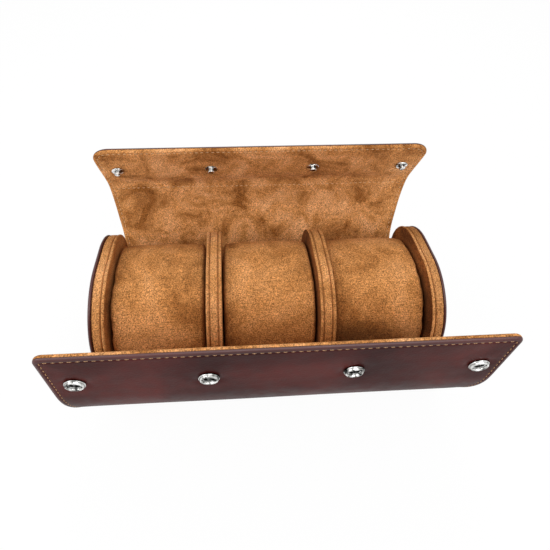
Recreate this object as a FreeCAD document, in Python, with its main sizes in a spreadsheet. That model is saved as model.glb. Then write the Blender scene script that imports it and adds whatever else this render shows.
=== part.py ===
import FreeCAD, Part
import math
import os
import Sketcher

# Watch travel case for three watches: a soft sheet with two flaps round four rounded panels.
# The frame: the origin is the middle of the flat underside, +X runs along the case to its right end,
# +Y runs to the back flap and +Z is up. Sizes are in millimetres, turns in degrees.

SIZES = {
    # Body: two end caps and two dividers share one rounded outline
    "case_length": 200.0,
    "panel_half_depth": 41.0,
    "panel_height": 69.0,
    # Sheet: leather outside, suede lining inside, stiffener board between them where it is stiff
    "leather_thickness": 1.2,
    "lining_thickness": 1.8,
    "board_thickness": 0.6,
    "board_margin": 2.0,
    "base_half_depth": 26.0,
    # End caps and dividers
    "cap_leather_thickness": 1.4,
    "cap_leather_inset": 0.3,
    "cap_core_thickness": 5.9,
    "face_thickness": 1.4,
    "divider_core_thickness": 6.3,
    "band_thickness": 1.2,
    "band_inset": 0.5,
    # Pillows
    "pillow_side_clearance": 0.6,
    "pillow_floor_clearance": 0.3,
    "pillow_depth_inset": 4.5,
    "pillow_top_inset": 6.0,
    "pillow_corner_inset": 4.0,
    "pillow_end_round": 6.0,
    "pillow_crown": 1.6,
    "pillow_cover_thickness": 1.4,
    # Press studs
    "snap_inner_spacing": 33.2,
    "snap_outer_spacing": 92.5,
    "front_snap_offset": 14.5,
    "back_snap_offset": 13.0,
    "socket_flange_radius": 5.2,
    "socket_flange_height": 0.6,
    "socket_crown_radius": 4.7,
    "socket_lip_radius": 4.1,
    "socket_crown_height": 1.0,
    "socket_bore_radius": 2.7,
    "socket_neck_wall": 0.6,
    "socket_plate_radius": 4.4,
    "stud_flange_radius": 4.0,
    "stud_flange_height": 0.7,
    "stud_neck_radius": 1.7,
    "stud_neck_height": 0.8,
    "stud_head_radius": 2.1,
    "stud_head_height": 1.0,
    "stud_tip_radius": 1.2,
    "stud_tip_height": 0.5,
    "stud_rivet_radius": 1.5,
    "snap_cap_radius": 5.5,
    "snap_cap_height": 1.6,
    # Flaps: each piece's length along the suede side, and half the sheet's width at the piece's far end
    "front_edge_corner_radius": 4.0,
    "back_edge_corner_radius": 11.0,
    "front_flap_1_length": 34.0,
    "front_flap_2_length": 18.0,
    "front_flap_3_length": 15.5,
    "front_flap_4_length": 15.0,
    "front_strip_length": 21.0,
    "front_edge_length": 19.0,
    "front_flap_1_half_width": 101.5,
    "front_flap_2_half_width": 103.0,
    "front_flap_3_half_width": 104.2,
    "front_flap_4_half_width": 104.6,
    "front_strip_half_width": 104.8,
    "front_edge_half_width": 105.0,
    "back_flap_1_length": 34.0,
    "back_flap_2_length": 16.0,
    "back_flap_3_length": 16.5,
    "back_flap_4_length": 17.0,
    "back_flap_5_length": 16.5,
    "back_strip_length": 21.0,
    "back_edge_length": 15.0,
    "back_flap_1_half_width": 96.0,
    "back_flap_2_half_width": 97.0,
    "back_flap_3_half_width": 100.0,
    "back_flap_4_half_width": 102.0,
    "back_flap_5_half_width": 103.0,
    "back_strip_half_width": 105.0,
    "back_edge_half_width": 105.5,
}

# How far each curved piece of a flap turns, and the crease where the back flap leaves the base, in degrees
TURNS = {
    "front_flap_1_turn": 56.0,
    "front_flap_3_turn": 9.0,
    "front_flap_4_turn": 13.0,
    "back_crease_turn": 6.0,
    "back_flap_1_turn": 64.0,
    "back_flap_3_turn": 9.5,
    "back_flap_4_turn": 15.5,
    "back_flap_5_turn": 22.0,
}

# Radii of the panels' outline, as shares of its height
BOTTOM_CORNER_SHARE = 10 / 23
TOP_CORNER_SHARE = 11 / 23

# Each flap is a run of pieces from the base to its free edge. The base is as wide as the body.
FRONT_RUN = ["front_flap_1", "front_flap_2", "front_flap_3", "front_flap_4", "front_strip", "front_edge"]
BACK_RUN = [
    "back_flap_1", "back_flap_2", "back_flap_3", "back_flap_4", "back_flap_5", "back_strip", "back_edge"]

# Sections along a pillow, as shares: how far out each lies, and how much of the end's rounding it has
COVER_STATION_SHARES = [
    (-1.0, 1.0),
    (-0.88, 0.12),
    (-0.4, 0.0),
    (0.4, 0.0),
    (0.88, 0.12),
    (1.0, 1.0),
]
CORE_STATION_SHARES = [
    (-0.95, 0.4),
    (0.95, 0.4),
]

HALF_TURN = 180.0
QUARTER_TURN = 90.0

doc = FreeCAD.newDocument("watch_travel_case")
sheet = doc.addObject("Spreadsheet::Sheet", "Sizes")
for row, (alias, value) in enumerate({**SIZES, **TURNS}.items(), start=1):
    sheet.set("A%d" % row, alias)
    sheet.set("B%d" % row, repr(value))
    sheet.setAlias("B%d" % row, alias)
doc.recompute()

nodes = []


def size(name):
    """A driving size, read from the sheet."""
    return float(sheet.get(name))


def cell(name):
    """How an expression names a driving size."""
    return "Sizes." + name


def value_of(expression):
    """The number that an expression of named sizes comes to."""
    result = expression
    for name in sorted({**SIZES, **TURNS}, key=len, reverse=True):
        result = result.replace(cell(name), "(%r)" % size(name))
    holder = doc.addObject("App::FeaturePython", "Holder")
    holder.addProperty("App::PropertyFloat", "Value")
    holder.setExpression("Value", result)
    doc.recompute()
    number = holder.Value
    doc.removeObject(holder.Name)
    return number


# Sums of sizes that several pieces share
SHEET_THICKNESS = "(%s + %s)" % (cell("leather_thickness"), cell("lining_thickness"))
CAP_THICKNESS = "(%s + %s + %s)" % (
    cell("cap_leather_thickness"), cell("cap_core_thickness"), cell("face_thickness"))
DIVIDER_THICKNESS = "(%s + 2 * %s)" % (cell("divider_core_thickness"), cell("face_thickness"))
BOTTOM_CORNER_RADIUS = "(%r * %s)" % (BOTTOM_CORNER_SHARE, cell("panel_height"))
TOP_CORNER_RADIUS = "(%r * %s)" % (TOP_CORNER_SHARE, cell("panel_height"))
SLOT_WIDTH = "((%s - 2 * %s - 2 * %s) / 3)" % (cell("case_length"), CAP_THICKNESS, DIVIDER_THICKNESS)


def node(shape_object, label, placement=None):
    """Names a sub-part and puts it in its place."""
    shape_object.Label = label
    if placement is not None:
        shape_object.Placement = placement
    nodes.append(shape_object)
    return shape_object


def origin_plane(body, role):
    """The body's own origin plane with this role."""
    return next(f for f in body.Origin.OriginFeatures if f.Role == role)


def new_body(name):
    return doc.addObject("PartDesign::Body", name + "_body")


def new_sketch(body, name, role, offset=None):
    """A sketch on one of the body's origin planes, moved off it by an expression."""
    sketch = body.newObject("Sketcher::SketchObject", name)
    sketch.AttachmentSupport = [(origin_plane(body, role), "")]
    sketch.MapMode = "FlatFace"
    if offset is not None:
        sketch.setExpression("AttachmentOffset.Base.z", offset)
    return sketch


def dimension(sketch, kind, *places, expression):
    """A dimension of the sketch, bound to the sheet."""
    index = sketch.addConstraint(Sketcher.Constraint(kind, *places, value_of(expression)))
    sketch.setExpression("Constraints[%d]" % index, expression)


def rounded_outline(sketch, half_depth, low, high, bottom_radius, top_radius):
    """A closed outline of four lines and four arcs, the same on both sides of the vertical axis."""
    a, lo, hi = value_of(half_depth), value_of(low), value_of(high)
    rb, rt = value_of(bottom_radius), value_of(top_radius)
    up = FreeCAD.Vector(0, 0, 1)
    quarter = math.pi / 2

    def line(y0, z0, y1, z1):
        return sketch.addGeometry(Part.LineSegment(FreeCAD.Vector(y0, z0, 0), FreeCAD.Vector(y1, z1, 0)))

    def arc(y, z, radius, start):
        circle = Part.Circle(FreeCAD.Vector(y, z, 0), up, radius)
        return sketch.addGeometry(Part.ArcOfCircle(circle, start, start + quarter))

    bottom = line(-(a - rb), lo, a - rb, lo)
    corner_1 = arc(a - rb, lo + rb, rb, -quarter)
    right = line(a, lo + rb, a, hi - rt)
    corner_2 = arc(a - rt, hi - rt, rt, 0)
    top = line(a - rt, hi, -(a - rt), hi)
    corner_3 = arc(-(a - rt), hi - rt, rt, quarter)
    left = line(-a, hi - rt, -a, lo + rb)
    corner_4 = arc(-(a - rb), lo + rb, rb, math.pi)
    ring = [bottom, corner_1, right, corner_2, top, corner_3, left, corner_4]
    for this, following in zip(ring, ring[1:] + ring[:1]):
        sketch.addConstraint(Sketcher.Constraint("Tangent", this, 2, following, 1))
    for level in (bottom, top):
        sketch.addConstraint(Sketcher.Constraint("Horizontal", level))
    for upright in (right, left):
        sketch.addConstraint(Sketcher.Constraint("Vertical", upright))
    sketch.addConstraint(Sketcher.Constraint("Equal", corner_1, corner_4))
    sketch.addConstraint(Sketcher.Constraint("Equal", corner_2, corner_3))
    dimension(sketch, "Radius", corner_1, expression=bottom_radius)
    dimension(sketch, "Radius", corner_2, expression=top_radius)
    dimension(sketch, "DistanceX", -1, 1, right, 1, expression=half_depth)
    dimension(sketch, "DistanceX", left, 1, -1, 1, expression=half_depth)
    dimension(sketch, "DistanceY", -1, 1, bottom, 1, expression=low)
    dimension(sketch, "DistanceY", -1, 1, top, 1, expression=high)


def panel_outline(sketch, inset):
    """The panels' shared outline, drawn in by an inset all round."""
    rounded_outline(
        sketch,
        "%s - %s" % (cell("panel_half_depth"), inset),
        "%s + %s" % (SHEET_THICKNESS, inset),
        "%s + %s - %s" % (SHEET_THICKNESS, cell("panel_height"), inset),
        "%s - %s" % (BOTTOM_CORNER_RADIUS, inset),
        "%s - %s" % (TOP_CORNER_RADIUS, inset))


def pad(body, sketch, length, backwards=False):
    feature = body.newObject("PartDesign::Pad", sketch.Name + "_pad")
    feature.Profile = sketch
    feature.Reversed = backwards
    feature.setExpression("Length", length)
    return feature


def panel_layer(name, start, thickness, inset, inner_inset=None):
    """One layer of a cap or divider: its outline padded along X, or a ring where it has an inner outline."""
    body = new_body(name)
    sketch = new_sketch(body, name + "_outline", "YZ_Plane", start)
    panel_outline(sketch, inset)
    if inner_inset is not None:
        panel_outline(sketch, inner_inset)
    pad(body, sketch, thickness)
    node(body, name)


def base_pieces():
    """The flat middle of the sheet: leather, a board narrower than it, and the lining that covers both."""
    levels = [
        ("base_leather", "0", cell("leather_thickness"), "0"),
        ("base_board", cell("leather_thickness"), cell("board_thickness"), cell("board_margin")),
        ("base_lining", "%s + %s" % (cell("leather_thickness"), cell("board_thickness")),
         "%s - %s" % (cell("lining_thickness"), cell("board_thickness")), "0"),
    ]
    for name, low, thickness, margin in levels:
        box = doc.addObject("Part::Box", name + "_box")
        half_length = "%s / 2 - %s" % (cell("case_length"), margin)
        half_depth = "%s - %s" % (cell("base_half_depth"), margin)
        box.setExpression("Length", "2 * (%s)" % half_length)
        box.setExpression("Width", "2 * (%s)" % half_depth)
        box.setExpression("Height", thickness)
        box.setExpression("Placement.Base.x", "-(%s)" % half_length)
        box.setExpression("Placement.Base.y", "-(%s)" % half_depth)
        box.setExpression("Placement.Base.z", low)
        node(box, name)


def end_cap(side_name, side):
    """An end cap from outside to inside: leather panel, board core in a suede rim band, suede face."""
    half = "%s / 2" % cell("case_length")
    layers = [
        ("leather_panel", "cap_leather_thickness", cell("cap_leather_inset"), None),
        ("core", "cap_core_thickness", "(%s + %s)" % (cell("band_inset"), cell("band_thickness")), None),
        ("rim_band", "cap_core_thickness", cell("band_inset"),
         "(%s + %s)" % (cell("band_inset"), cell("band_thickness"))),
        ("suede_face", "face_thickness", "0", None),
    ]
    depth = {
        "leather_panel": "0",
        "core": cell("cap_leather_thickness"),
        "rim_band": cell("cap_leather_thickness"),
        "suede_face": "%s + %s" % (cell("cap_leather_thickness"), cell("cap_core_thickness")),
    }
    for layer, thickness, inset, inner in layers:
        outer_x = "(%s - (%s))" % (half, depth[layer])
        start = "%s - %s" % (outer_x, cell(thickness)) if side > 0 else "-%s" % outer_x
        panel_layer("%s_cap_%s" % (side_name, layer), start, cell(thickness), inset, inner)


def divider(side_name, side):
    """A divider: board core in a suede rim band between two suede faces with raised edges."""
    centre = "(%s + %s) / 2" % (SLOT_WIDTH, DIVIDER_THICKNESS)
    core_half = "%s / 2" % cell("divider_core_thickness")
    core_inset = "(%s + %s)" % (cell("band_inset"), cell("band_thickness"))
    sign = "1" if side > 0 else "-1"
    middle = "%s * %s" % (sign, centre)
    core_start = "%s - %s" % (middle, core_half)
    panel_layer(side_name + "_divider_core", core_start, cell("divider_core_thickness"), core_inset)
    panel_layer(side_name + "_divider_rim_band", core_start, cell("divider_core_thickness"),
                cell("band_inset"), core_inset)
    panel_layer(side_name + "_divider_left_face", "%s - %s" % (core_start, cell("face_thickness")),
                cell("face_thickness"), "0")
    panel_layer(side_name + "_divider_right_face", "%s + %s" % (middle, core_half),
                cell("face_thickness"), "0")


def pillow_sections(body, name, station_shares, shrink):
    """The rounded outlines that a pillow's loft runs through, from end to end."""
    half_width = "(%s / 2 - %s - %s)" % (SLOT_WIDTH, cell("pillow_side_clearance"), shrink)
    sketches = []
    for index, (place_share, round_share) in enumerate(station_shares):
        inset = "(%r * %s + %r * %s + %s)" % (
            round_share, cell("pillow_end_round"), place_share ** 2, cell("pillow_crown"), shrink)
        offset = "%r * %s" % (place_share, half_width)
        sketch = new_sketch(body, "%s_section_%d" % (name, index), "YZ_Plane", offset)
        rounded_outline(
            sketch,
            "%s - %s - %s" % (cell("panel_half_depth"), cell("pillow_depth_inset"), inset),
            "%s + %s + %s" % (SHEET_THICKNESS, cell("pillow_floor_clearance"), inset),
            "%s + %s - %s - %s" % (
                SHEET_THICKNESS, cell("panel_height"), cell("pillow_top_inset"), inset),
            "%s - %s - %s" % (BOTTOM_CORNER_RADIUS, cell("pillow_corner_inset"), inset),
            "%s - %s - %s" % (TOP_CORNER_RADIUS, cell("pillow_corner_inset"), inset))
        sketches.append(sketch)
    return sketches


def loft(body, kind, name, sketches):
    feature = body.newObject("PartDesign::" + kind, name)
    feature.Profile = sketches[0]
    feature.Sections = sketches[1:]
    feature.Ruled = True
    return feature


def pillow(side_name, place):
    """A watch pillow: a crowned, padded suede cover over a foam core, with ends that draw in."""
    centre = "%d * (%s + %s)" % (place, SLOT_WIDTH, DIVIDER_THICKNESS)
    where = FreeCAD.Placement(FreeCAD.Vector(value_of(centre), 0, 0), FreeCAD.Rotation())
    cover = new_body(side_name + "_pillow_cover")
    loft(cover, "AdditiveLoft", side_name + "_cover_loft",
         pillow_sections(cover, side_name + "_cover", COVER_STATION_SHARES, "0"))
    loft(cover, "SubtractiveLoft", side_name + "_cover_hollow",
         pillow_sections(cover, side_name + "_hollow", CORE_STATION_SHARES, cell("pillow_cover_thickness")))
    node(cover, side_name + "_pillow_cover", where)
    core = new_body(side_name + "_pillow_core")
    loft(core, "AdditiveLoft", side_name + "_core_loft",
         pillow_sections(core, side_name + "_core", CORE_STATION_SHARES, cell("pillow_cover_thickness")))
    node(core, side_name + "_pillow_core", where)


class PiecePlace:
    """Where a flap piece starts on the suede side, with the sheet's direction and inward normal there."""

    def __init__(self, side, point, angle):
        self.side = side
        self.point = point
        self.angle = angle
        yaw = 0.0 if side > 0 else HALF_TURN
        spin = FreeCAD.Rotation(FreeCAD.Vector(0, 0, 1), yaw)
        tilt = FreeCAD.Rotation(FreeCAD.Vector(1, 0, 0), angle)
        self.rotation = spin.multiply(tilt)

    def placement(self, depth=0.0):
        """The piece's own frame, sunk by a depth below the suede side."""
        down = self.rotation.multVec(FreeCAD.Vector(0, 0, -depth))
        return FreeCAD.Placement(self.point + down, self.rotation)

    def after(self, length, turn):
        """The place at the far end of a piece of this length and turn."""
        angle = math.radians(turn)
        forward = length
        inward = 0.0
        if turn:
            radius = length / angle
            forward = radius * math.sin(angle)
            inward = radius * (1 - math.cos(angle))
        step = self.rotation.multVec(FreeCAD.Vector(0, forward, inward))
        return PiecePlace(self.side, self.point + step, self.angle + turn)


def flat_layer(name, place, piece, near_width, depth, thickness, holes=None, corner=None):
    """A flat layer of a flap piece: a tapered plate, with holes for the studs or with round corners."""
    body = new_body(name)
    sketch = new_sketch(body, name + "_plan", "XY_Plane")
    near, far = value_of(near_width), size(piece + "_half_width")
    length = size(piece + "_length")
    corners = [(-near, 0), (near, 0), (far, length), (-far, length)]
    for start, end in zip(corners, corners[1:] + corners[:1]):
        sketch.addGeometry(Part.LineSegment(FreeCAD.Vector(*start, 0), FreeCAD.Vector(*end, 0)))
    for line in range(len(corners)):
        following = (line + 1) % len(corners)
        sketch.addConstraint(Sketcher.Constraint("Coincident", line, 2, following, 1))
    sketch.addConstraint(Sketcher.Constraint("Symmetric", 0, 1, 0, 2, -2))
    sketch.addConstraint(Sketcher.Constraint("Symmetric", 2, 1, 2, 2, -2))
    sketch.addConstraint(Sketcher.Constraint("PointOnObject", 0, 1, -1))
    dimension(sketch, "DistanceX", 0, 1, 0, 2, expression="2 * %s" % near_width)
    dimension(sketch, "DistanceX", 2, 2, 2, 1, expression="2 * %s" % cell(piece + "_half_width"))
    dimension(sketch, "DistanceY", 0, 2, 1, 2, expression=cell(piece + "_length"))
    plate = pad(body, sketch, thickness, backwards=True)
    doc.recompute()
    full_volume = body.Shape.Volume
    if holes is not None:
        offset, radius = holes
        punch = new_sketch(body, name + "_holes", "XY_Plane")
        for number, (sign, spacing) in enumerate(snap_places()):
            middle = FreeCAD.Vector(sign * size(spacing), size(offset), 0)
            centre = (number, 3)
            punch.addGeometry(Part.Circle(middle, FreeCAD.Vector(0, 0, 1), value_of(radius)))
            ends = (-1, 1, *centre) if sign > 0 else (*centre, -1, 1)
            dimension(punch, "DistanceX", *ends, expression=cell(spacing))
            dimension(punch, "DistanceY", -1, 1, *centre, expression=cell(offset))
            dimension(punch, "Radius", number, expression=radius)
        pocket = body.newObject("PartDesign::Pocket", name + "_pocket")
        pocket.Profile = punch
        pocket.Type = "ThroughAll"
        doc.recompute()
        if body.Shape.Volume >= full_volume:
            raise ValueError(name + ": the stud holes cut nothing")
    if corner is not None:
        ends = []
        for number, edge in enumerate(plate.Shape.Edges, start=1):
            middle = edge.BoundBox.Center
            upright = edge.BoundBox.ZLength > edge.BoundBox.YLength
            if upright and middle.y > length / 2:
                ends.append("Edge%d" % number)
        rounding = body.newObject("PartDesign::Fillet", name + "_corners")
        rounding.Base = (plate, ends)
        rounding.setExpression("Radius", corner)
    node(body, name, place.placement(value_of(depth)))


def curved_layer(name, place, piece, near_width, depth, thickness):
    """A curved layer of a flap piece: a sector of a tube, trimmed to the sheet's tapering width."""
    turn = cell(piece + "_turn")
    bend_radius = "(%s * %r / (pi * %s))" % (cell(piece + "_length"), HALF_TURN, turn)
    widest = cell(piece + "_half_width")
    if value_of(near_width) > size(piece + "_half_width"):
        widest = near_width
    rolls = []
    for label, extra in (("outside", "%s + %s" % (depth, thickness)), ("inside", depth)):
        roll = doc.addObject("Part::Cylinder", "%s_%s" % (name, label))
        roll.setExpression("Radius", "%s + %s" % (bend_radius, extra))
        roll.setExpression("Height", "2 * %s" % widest)
        roll.setExpression("Angle", turn)
        # the tube's axis runs along X, and the sector starts straight out from it
        across = FreeCAD.Rotation(
            FreeCAD.Vector(0, 0, -1), FreeCAD.Vector(0, 1, 0), FreeCAD.Vector(1, 0, 0), "XYZ")
        roll.Placement = FreeCAD.Placement(FreeCAD.Vector(0, 0, 0), across)
        roll.setExpression("Placement.Base.x", "-%s" % widest)
        roll.setExpression("Placement.Base.z", bend_radius)
        rolls.append(roll)
    wall = doc.addObject("Part::Cut", name + "_wall")
    wall.Base, wall.Tool = rolls
    trim = doc.addObject("Part::Wedge", name + "_trim")
    reach = "(%s + %s) * sin(%s * 1deg)" % (bend_radius, SHEET_THICKNESS, turn)
    for corner in ("Xmin", "X2min"):
        width = near_width if corner == "Xmin" else cell(piece + "_half_width")
        trim.setExpression(corner, "-%s" % width)
        trim.setExpression(corner.replace("min", "max"), width)
    trim.Ymin = 0.0
    trim.setExpression("Ymax", reach)
    for low in ("Zmin", "Z2min"):
        trim.setExpression(low, "-%s" % SHEET_THICKNESS)
        trim.setExpression(low.replace("min", "max"), bend_radius)
    layer = doc.addObject("Part::Common", name + "_layer")
    layer.Base, layer.Tool = wall, trim
    doc.recompute()
    node(layer, name, place.placement())


def snap_places():
    """Side and spacing of the four press studs, from left to right."""
    return [
        (-1, "snap_outer_spacing"), (-1, "snap_inner_spacing"),
        (1, "snap_inner_spacing"), (1, "snap_outer_spacing"),
    ]


def flap(run, place):
    """Every piece of one flap, from the base to the free edge. Returns where its strip starts."""
    near_width = "(%s / 2)" % cell("case_length")
    strip_place = None
    lining = cell("lining_thickness")
    leather = cell("leather_thickness")
    board = cell("board_thickness")
    thin_lining = "(%s - %s)" % (lining, board)
    for piece in run:
        turn = piece + "_turn"
        is_strip = piece.endswith("_strip")
        is_edge = piece.endswith("_edge")
        if is_strip:
            strip_place = place
            front = place.side < 0
            offset = "front_snap_offset" if front else "back_snap_offset"
            rivet = cell("stud_rivet_radius")
            neck = "(%s + %s)" % (cell("socket_bore_radius"), cell("socket_neck_wall"))
            flat_layer(piece + "_lining", place, piece, near_width, "0", thin_lining,
                       holes=None if front else (offset, rivet))
            flat_layer(piece + "_board", place, piece, near_width, thin_lining, board,
                       holes=(offset, cell("socket_plate_radius") if front else rivet))
            flat_layer(piece + "_leather", place, piece, near_width, lining, leather,
                       holes=(offset, neck if front else rivet))
        elif turn in TURNS:
            curved_layer(piece + "_lining", place, piece, near_width, "0", lining)
            curved_layer(piece + "_leather", place, piece, near_width, lining, leather)
        else:
            corner = cell(piece + "_corner_radius") if is_edge else None
            flat_layer(piece + "_lining", place, piece, near_width, "0", lining, corner=corner)
            flat_layer(piece + "_leather", place, piece, near_width, lining, leather, corner=corner)
        near_width = cell(piece + "_half_width")
        place = place.after(size(piece + "_length"), size(turn) if turn in TURNS else 0.0)
    return strip_place


def turned_disc(name, x, y, low, high, radius, top_radius=None):
    """A short round piece between two heights of a strip's own frame, straight or tapered."""
    if top_radius is None:
        disc = doc.addObject("Part::Cylinder", name)
        disc.Radius = radius
    else:
        disc = doc.addObject("Part::Cone", name)
        disc.Radius1 = radius
        disc.Radius2 = top_radius
    disc.Height = high - low
    disc.Placement.Base = FreeCAD.Vector(x, y, low)
    return disc


def joined(name, pieces):
    whole = doc.addObject("Part::MultiFuse", name)
    whole.Shapes = pieces
    return whole


def group(name, members, place):
    """Four like fasteners in one node, each its own solid."""
    row_of_four = doc.addObject("Part::Compound", name + "_group")
    row_of_four.Links = members
    node(row_of_four, name, place.placement())


def sockets(place):
    """Front press-stud sockets: a flanged ring on the leather, its neck through it, and a plate behind."""
    outside = -value_of(SHEET_THICKNESS)
    flange_top = outside - size("socket_flange_height")
    crown_top = flange_top - size("socket_crown_height")
    neck_end = outside + size("leather_thickness")
    plate_end = neck_end + size("board_thickness")
    bore = size("socket_bore_radius")
    rings = []
    plates = []
    for number, (sign, spacing) in enumerate(snap_places()):
        x, y = sign * size(spacing), size("front_snap_offset")
        tag = "socket_%d_" % number
        flange = turned_disc(tag + "flange", x, y, flange_top, outside, size("socket_flange_radius"))
        crown = turned_disc(tag + "crown", x, y, crown_top, flange_top,
                            size("socket_lip_radius"), size("socket_crown_radius"))
        neck = turned_disc(tag + "neck", x, y, outside, neck_end, bore + size("socket_neck_wall"))
        hole = turned_disc(tag + "bore", x, y, crown_top, neck_end, bore)
        ring = doc.addObject("Part::Cut", tag + "ring")
        ring.Base, ring.Tool = joined(tag + "blank", [flange, crown, neck]), hole
        rings.append(ring)
        plates.append(turned_disc(tag + "plate", x, y, neck_end, plate_end,
                                  size("socket_plate_radius")))
    group("snap_sockets", rings, place)
    group("socket_backing_plates", plates, place)


def studs(place):
    """Back press studs: a flange and round post on the suede side, a rivet, and a domed cap outside."""
    outside = -value_of(SHEET_THICKNESS)
    cap_radius, cap_height = size("snap_cap_radius"), size("snap_cap_height")
    dome_radius = (cap_radius ** 2 + cap_height ** 2) / (2 * cap_height)
    dome_angle = math.degrees(math.asin(cap_radius / dome_radius))
    head_low = size("stud_flange_height") + size("stud_neck_height")
    head_high = head_low + size("stud_head_height")
    head_radius = size("stud_head_radius")
    posts = []
    caps = []
    for number, (sign, spacing) in enumerate(snap_places()):
        x, y = sign * size(spacing), size("back_snap_offset")
        tag = "stud_%d_" % number
        flange = turned_disc(tag + "flange", x, y, 0.0, size("stud_flange_height"),
                             size("stud_flange_radius"))
        rivet = turned_disc(tag + "rivet", x, y, outside, 0.0, size("stud_rivet_radius"))
        neck = turned_disc(tag + "neck", x, y, size("stud_flange_height"), head_low, size("stud_neck_radius"))
        head = turned_disc(tag + "head", x, y, head_low, head_high, size("stud_neck_radius"), head_radius)
        tip = turned_disc(tag + "tip", x, y, head_high, head_high + size("stud_tip_height"),
                          head_radius, size("stud_tip_radius"))
        posts.append(joined(tag + "post", [flange, rivet, neck, head, tip]))
        dome = doc.addObject("Part::Sphere", tag + "dome")
        dome.Radius = dome_radius
        dome.Angle2 = dome_angle - QUARTER_TURN
        dome.Placement.Base = FreeCAD.Vector(x, y, outside - cap_height + dome_radius)
        caps.append(dome)
    group("snap_studs", posts, place)
    group("snap_caps", caps, place)


base_pieces()
for side_name, side in (("left", -1), ("right", 1)):
    end_cap(side_name, side)
    divider(side_name, side)
for side_name, place in (("left", -1), ("middle", 0), ("right", 1)):
    pillow(side_name, place)

suede_level = value_of(SHEET_THICKNESS)
front_start = PiecePlace(-1, FreeCAD.Vector(0, -size("base_half_depth"), suede_level), 0.0)
back_start = PiecePlace(1, FreeCAD.Vector(0, size("base_half_depth"), suede_level), size("back_crease_turn"))
sockets(flap(FRONT_RUN, front_start))
studs(flap(BACK_RUN, back_start))
doc.recompute()

for item in doc.Objects:
    if "Invalid" in item.State or "Error" in item.State:
        raise ValueError("%s failed: %s" % (item.Label, item.State))
for item in nodes:
    if item.Shape.isNull() or not item.Shape.isValid():
        raise ValueError(item.Label + ": its shape is empty or not valid")

os.makedirs("parts", exist_ok=True)
for item in nodes:
    item.Shape.exportStep(os.path.join("parts", item.Label + ".step"))
    box = item.Shape.BoundBox
    print("%-28s solids %d  volume %9.1f  x %7.1f %7.1f  y %7.1f %7.1f  z %7.1f %7.1f" % (
        item.Label, len(item.Shape.Solids), item.Shape.Volume,
        box.XMin, box.XMax, box.YMin, box.YMax, box.ZMin, box.ZMax))
print(len(nodes), "nodes")
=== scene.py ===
"""Looks of an open watch travel case: leather sheet with suede lining, rounded panels, pillows and press studs."""
import math
from functools import cache

import bmesh
import bpy
import numpy as np
from bpy.props import FloatProperty, IntProperty, PointerProperty, StringProperty
from bpy.types import Operator, Panel, PropertyGroup
from mathutils import Matrix


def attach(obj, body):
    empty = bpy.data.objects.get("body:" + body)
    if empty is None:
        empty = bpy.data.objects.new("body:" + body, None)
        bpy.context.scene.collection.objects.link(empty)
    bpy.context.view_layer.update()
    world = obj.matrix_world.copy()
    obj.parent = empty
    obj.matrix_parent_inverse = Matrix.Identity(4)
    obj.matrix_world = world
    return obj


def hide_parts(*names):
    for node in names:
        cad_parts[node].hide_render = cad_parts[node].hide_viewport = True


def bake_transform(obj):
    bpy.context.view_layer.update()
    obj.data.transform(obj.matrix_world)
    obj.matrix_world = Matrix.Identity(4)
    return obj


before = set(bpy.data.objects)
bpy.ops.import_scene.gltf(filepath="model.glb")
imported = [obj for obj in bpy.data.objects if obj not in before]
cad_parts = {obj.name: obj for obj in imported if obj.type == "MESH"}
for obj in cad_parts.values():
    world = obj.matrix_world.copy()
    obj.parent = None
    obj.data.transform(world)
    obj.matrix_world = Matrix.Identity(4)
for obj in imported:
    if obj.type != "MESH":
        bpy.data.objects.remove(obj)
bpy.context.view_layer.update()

bl_info = {
    "name": "Watch Travel Case Looks",
    "version": (1, 0, 0),
    "blender": (4, 5, 0),
    "location": "3D View > Sidebar > Watch Case",
    "description": "Dresses the frame of a watch travel case in leather, suede, thread and polished metal",
    "category": "Object",
}

MM = 0.001

# Sheet: one leather layer and one suede layer. All sizes are in millimetres
SHEET_THICKNESS = 3.0
LINING_THICKNESS = 1.8
BASE_HALF_DEPTH = 26.0
BASE_HALF_WIDTH = 100.0
BASE_SKIN_HALF = 20.0
FLAP_START = BASE_SKIN_HALF - BASE_HALF_DEPTH  # each flap's first skin begins this far before its hinge
FRONT_CORNER = 4.0
BACK_CORNER = 11.0
LEATHER_EDGE_RADIUS = 1.1
LINING_EDGE_RADIUS = 1.5
STITCH_INSET = 2.8
SMALLEST_STITCH_CORNER = 0.4
CROSS_ROW = 10.0  # from the back flap's stiff strip down to its cross row of stitches
BEND_REACH = 13.0  # how far on each side of its hinge a skin would bend; dress_flap works out these ends but uses them for nothing

# Each flap from the base to its free edge: body, length along the suede, turn in degrees, half width at its far end
FRONT_RUN = [
    ("front_flap_1", 34.0, 56.0, 101.5),
    ("front_flap_2", 18.0, 0.0, 103.0),
    ("front_flap_3", 15.5, 9.0, 104.2),
    ("front_flap_4", 15.0, 13.0, 104.6),
    ("front_strip", 21.0, 0.0, 104.8),
    ("front_edge", 19.0, 0.0, 105.0),
]
BACK_RUN = [
    ("back_flap_1", 34.0, 64.0, 96.0),
    ("back_flap_2", 16.0, 0.0, 97.0),
    ("back_flap_3", 16.5, 9.5, 100.0),
    ("back_flap_4", 17.0, 15.5, 102.0),
    ("back_flap_5", 16.5, 22.0, 103.0),
    ("back_strip", 21.0, 0.0, 105.0),
    ("back_edge", 15.0, 0.0, 105.5),
]
BACK_CREASE = 6.0
SNAP_PLACES = (-92.5, -33.2, 33.2, 92.5)
FRONT_SNAP_OFFSET = 14.5
BACK_SNAP_OFFSET = 13.0

# Skins: rows this far apart, columns over the middle, and rows and columns close together near the edges
ROW_STEP = 0.9
COLUMNS, FINE_COLUMNS = 96, 190
EDGE_STEPS = (0.0, 0.1, 0.25, 0.45, 0.7, 1.0, 1.4, 1.9, 2.3, 2.6, 2.8, 3.0, 3.3, 3.8, 4.6, 5.8)
EDGE_BAND = 6.6

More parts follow.
